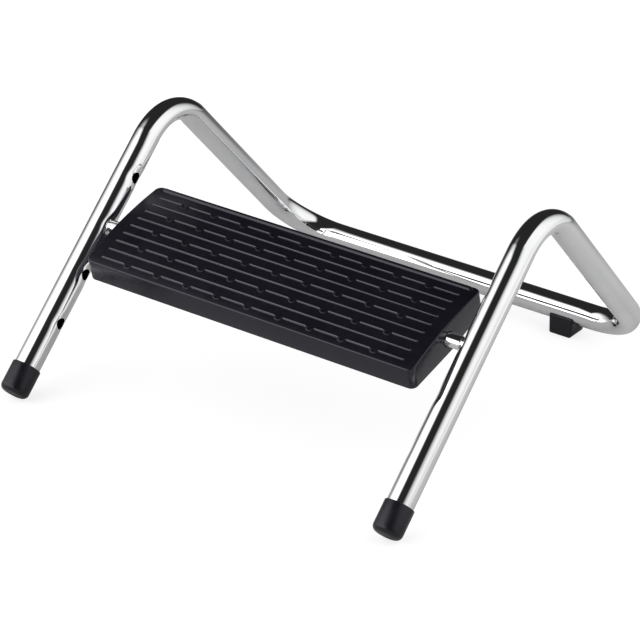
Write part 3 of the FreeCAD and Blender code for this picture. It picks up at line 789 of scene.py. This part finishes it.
def add_arc(path, centre, radius, first, last, steps):
    """Add places on an arc, with the direction across the ridge to the front at each."""
    for number in range(steps + 1):
        angle = first + (last - first) * number / steps
        out = Vector((-math.sin(angle), -math.cos(angle), 0))
        path.append((centre + radius * out, out))


def ridge_path(jogged):
    """Line of a ridge from left to right, with any jogs swept smoothly into the straight runs."""
    path = []
    behind = JOG_RADIUS - JOG_BULGE
    half_span = math.sqrt((JOG_RADIUS + JOG_SWEEP) ** 2 - (behind + JOG_SWEEP) ** 2)
    turn = math.atan2(half_span, behind + JOG_SWEEP)
    for number in range(JOG_COUNT if jogged else 0):
        x = (number - (JOG_COUNT - 1) / 2) * JOG_PITCH
        add_arc(path, Vector((x - half_span, -JOG_SWEEP, 0)), -JOG_SWEEP, 0, turn, SWEEP_STEPS)
        add_arc(path, Vector((x, behind, 0)), JOG_RADIUS, turn, -turn, JOG_STEPS)
        add_arc(path, Vector((x + half_span, -JOG_SWEEP, 0)), -JOG_SWEEP, -turn, 0, SWEEP_STEPS)
    tips = (RIDGE_HALF_LENGTH, RIDGE_HALF_LENGTH - RIDGE_END)
    left = [(Vector((-x, 0, 0)), FRONT) for x in tips]
    right = [(Vector((x, 0, 0)), FRONT) for x in reversed(tips)]
    return left + path + right


def ridge_section():
    """Offsets to the front and heights of a ridge: a round crest on a small swept foot."""
    foot_height = RIDGE_HEIGHT - RIDGE_RADIUS
    section = [
        (RIDGE_RADIUS + RIDGE_FOOT, 0),
        (RIDGE_RADIUS + RIDGE_FOOT_SWEEP * RIDGE_FOOT, RIDGE_FOOT_SWEEP * foot_height),
    ]
    for number in range(CREST_STEPS + 1):
        angle = math.pi / 2 * number / CREST_STEPS
        section.append((RIDGE_RADIUS * math.cos(angle), foot_height + RIDGE_RADIUS * math.sin(angle)))
    return section + [(-offset, height) for offset, height in reversed(section[:-1])]


def make_ridge(row):
    """Strip laid along the ridge's line, closed below the tread's surface."""
    y = -RIDGE_FIRST + row * RIDGE_PITCH
    path = ridge_path(jogged=row % 2 == 0)
    section = ridge_section()
    across = len(path)
    bpy.ops.mesh.primitive_grid_add(x_subdivisions=across - 1, y_subdivisions=len(section) - 1, size=1)
    ridge = name_piece(f"ridge_{row}")
    for index, vertex in enumerate(ridge.data.vertices):
        place, out = path[index % across]
        offset, height = section[len(section) - 1 - index // across]
        at_end = index % across in (0, across - 1)
        height *= 1 + JOG_FLATTENING * place.y / JOG_BULGE
        spot = place + out * offset * (RIDGE_END_WIDTH if at_end else 1) + Vector((0, y, 0))
        spot.z = arch_height(spot.y) + height * (RIDGE_END_HEIGHT if at_end else 1) - RIDGE_BED
        vertex.co = spot
    edit(ridge, "EDGE")
    bpy.ops.mesh.select_all(action="SELECT")
    bpy.ops.mesh.region_to_loop()
    bpy.ops.mesh.extrude_edges_move(TRANSFORM_OT_translate={"value": (0, 0, -RIDGE_SINK)})
    bpy.ops.mesh.edge_face_add()
    leave_edit()
    merge_doubles(ridge)
    paint(ridge, crest_plastic, tread_plastic)
    for face in ridge.data.polygons:
        face.material_index = 1 if y - face.center.y > CREST_REACH else 0
    return ridge


def make_plate():
    """Moulded plate: shell, hollow, webs, bores, ridges and bead in one piece."""
    shell = make_plate_shell()
    cut(shell, make_hollow())
    add_webs(shell)
    bore_plate(shell)
    paint_shell(shell)
    join(shell, [make_ridge(row) for row in range(RIDGE_COUNT)] + [make_back_bead()])
    tilt = Matrix.Rotation(PLATE_TILT, 4, "X")
    shell.data.transform(Matrix.Translation(ROD_CENTRE) @ tilt)
    smooth(shell, degrees=32)
    return shell


finish_piece(make_plate(), "plate", "plate_plastic", "foot_plate")


# Screws carried over from the frame

paint(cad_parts["rear_foot_screws"], zinc)


# Floor, light and camera. Each painted floor shading gives two places and then its levels at them.

FLOOR_SIZE = 12.0
FLOOR_GREY = 0.66
# Painted light and shade in the floor's grey, seen by all but the camera: lighter to the right and far
# in front, darker behind the object
PAINTED_SHADING_SIDEWAYS = (-0.4, 1.3, 0.8, 1.2)
PAINTED_SHADING_BACKWARDS = (0.4, 1.6, FLOOR_GREY, 0.4 * FLOOR_GREY)
PAINTED_SHADING_FORWARDS = (-0.5, -1.9, 1.0, 1.5)
CAMERA_FLOOR_GREY = 0.4
CAMERA_FLOOR_GLOW = (0.5, 1.0, 0.74, 1.0)
WORLD_LEVEL = 0.35
WORLD_GLOSS_LEVEL = 0.02
CAMERA_PLACE = (1.2878, -1.9952, 1.2219)
CAMERA_TURN = (63.884, -2.369, 34.447)
CAMERA_LENS = 158.46
CAMERA_SENSOR = 36.0
WHITE = (1, 1, 1, 1)


def fade(nodes, links, source, start, end, low=0.0, high=1.0):
    """Smooth change from a low value at one place to a high one at another."""
    change = nodes.new("ShaderNodeMapRange")
    change.interpolation_type = "SMOOTHSTEP"
    for name, value in (("From Min", start), ("From Max", end), ("To Min", low), ("To Max", high)):
        change.inputs[name].default_value = value
    links.new(source, change.inputs["Value"])
    return change.outputs["Result"]


def multiply(nodes, links, first, second):
    product = nodes.new("ShaderNodeMath")
    product.operation = "MULTIPLY"
    links.new(first, product.inputs[0])
    links.new(second, product.inputs[1])
    return product.outputs["Value"]


def painted_floor_light_and_shade(nodes, links):
    """Grey that gloss shows, with painted light and shade: lighter to the right and far in front,
    darker behind the object.
    """
    place = nodes.new("ShaderNodeSeparateXYZ")
    links.new(nodes.new("ShaderNodeTexCoord").outputs["Object"], place.inputs["Vector"])
    sideways = fade(nodes, links, place.outputs["X"], *PAINTED_SHADING_SIDEWAYS)
    backwards = fade(nodes, links, place.outputs["Y"], *PAINTED_SHADING_BACKWARDS)
    forwards = fade(nodes, links, place.outputs["Y"], *PAINTED_SHADING_FORWARDS)
    return multiply(nodes, links, multiply(nodes, links, sideways, backwards), forwards)


def make_floor():
    """Pale floor: almost white to the camera with a faint shadow, a mid grey with painted light and
    shade in the chrome.
    """
    bpy.ops.mesh.primitive_plane_add(size=FLOOR_SIZE)
    floor = name_piece("floor")
    levels = {"Roughness": 0.9, "Specular IOR Level": 0.0, "Emission Color": WHITE}
    material = new_finish("pale_floor", levels)
    nodes, links = material.node_tree.nodes, material.node_tree.links
    shader = nodes["Principled BSDF"]
    path = nodes.new("ShaderNodeLightPath")
    colour = nodes.new("ShaderNodeMix")
    colour.data_type = "RGBA"
    colour.inputs["B"].default_value = (CAMERA_FLOOR_GREY, CAMERA_FLOOR_GREY, CAMERA_FLOOR_GREY, 1)
    links.new(painted_floor_light_and_shade(nodes, links), colour.inputs["A"])
    links.new(path.outputs["Is Camera Ray"], colour.inputs["Factor"])
    links.new(colour.outputs["Result"], shader.inputs["Base Color"])
    reach = nodes.new("ShaderNodeVectorMath")
    reach.operation = "LENGTH"
    links.new(nodes.new("ShaderNodeTexCoord").outputs["Object"], reach.inputs[0])
    glow = fade(nodes, links, reach.outputs["Value"], *CAMERA_FLOOR_GLOW)
    seen_glow = multiply(nodes, links, path.outputs["Is Camera Ray"], glow)
    links.new(seen_glow, shader.inputs["Emission Strength"])
    paint(floor, material)


def make_world():
    """White to the camera, even to the object, and dark to gloss where no softbox stands."""
    world = bpy.data.worlds.new("studio")
    bpy.context.scene.world = world
    world.use_nodes = True
    nodes, links = world.node_tree.nodes, world.node_tree.links
    light = nodes["Background"]
    light.inputs["Color"].default_value = WHITE
    path = nodes.new("ShaderNodeLightPath")
    gloss_level = nodes.new("ShaderNodeMix")
    gloss_level.inputs["A"].default_value = WORLD_LEVEL
    gloss_level.inputs["B"].default_value = WORLD_GLOSS_LEVEL
    links.new(path.outputs["Is Glossy Ray"], gloss_level.inputs["Factor"])
    strength = nodes.new("ShaderNodeMix")
    strength.inputs["B"].default_value = 1.0
    links.new(path.outputs["Is Camera Ray"], strength.inputs["Factor"])
    links.new(gloss_level.outputs["Result"], strength.inputs["A"])
    links.new(strength.outputs["Result"], light.inputs["Strength"])


def add_softbox(name, start, end, height, radiance, fades):
    """Upright softbox from one floor place to another, facing the left of that line.

    Each fade is a pair of shares of a side, dark and full: at its start, its end, its top and its foot.
    The last one may be left out.
    """
    start, end = Vector(start), Vector(end)
    along = end - start
    data = bpy.data.lights.new(name, "AREA")
    data.shape = "RECTANGLE"
    data.size, data.size_y = along.length, height
    data.energy = radiance * math.pi * data.size * data.size_y
    data.use_nodes = True
    nodes, links = data.node_tree.nodes, data.node_tree.links
    place = nodes.new("ShaderNodeSeparateXYZ")
    links.new(nodes.new("ShaderNodeNewGeometry").outputs["Parametric"], place.inputs["Vector"])
    strength = None
    for side, (dark, full) in zip(("X", "X", "Y", "Y"), fades):
        level = fade(nodes, links, place.outputs[side], dark, full)
        strength = multiply(nodes, links, strength, level) if strength else level
    links.new(strength, nodes["Emission"].inputs["Strength"])
    lamp = bpy.data.objects.new(name, data)
    middle = (start + end) / 2
    lamp.location = (middle.x, middle.y, height / 2)
    facing = Vector((-along.y, along.x, 0))
    lamp.rotation_euler = facing.to_track_quat("-Z", "Y").to_euler()
    lamp.visible_camera = False
    bpy.context.collection.objects.link(lamp)


def add_camera():
    """Long lens from the right, above the plate, at the photograph's angle."""
    data = bpy.data.cameras.new("camera")
    data.lens = CAMERA_LENS
    data.sensor_width = CAMERA_SENSOR
    camera = bpy.data.objects.new("camera", data)
    camera.location = CAMERA_PLACE
    camera.rotation_euler = [math.radians(angle) for angle in CAMERA_TURN]
    bpy.context.collection.objects.link(camera)
    bpy.context.scene.camera = camera


make_floor()
make_world()
add_softbox(
    "left_softbox",
    start=(-1.98, 0.63),
    end=(0.31, -2.47),
    height=2.6,
    radiance=2.0,
    fades=((0.049, 0.56), (1.0, 0.96), (1.0, 0.5)),
)
add_softbox(
    "right_softbox",
    start=(1.29, -1.17),
    end=(-0.01, 3.23),
    height=3.5,
    radiance=1.0,
    fades=((0.06, 0.235), (1.0, 0.35), (1.0, 0.59), (-0.19, 0.145)),
)
add_camera()
bpy.context.scene.view_settings.view_transform = "Standard"
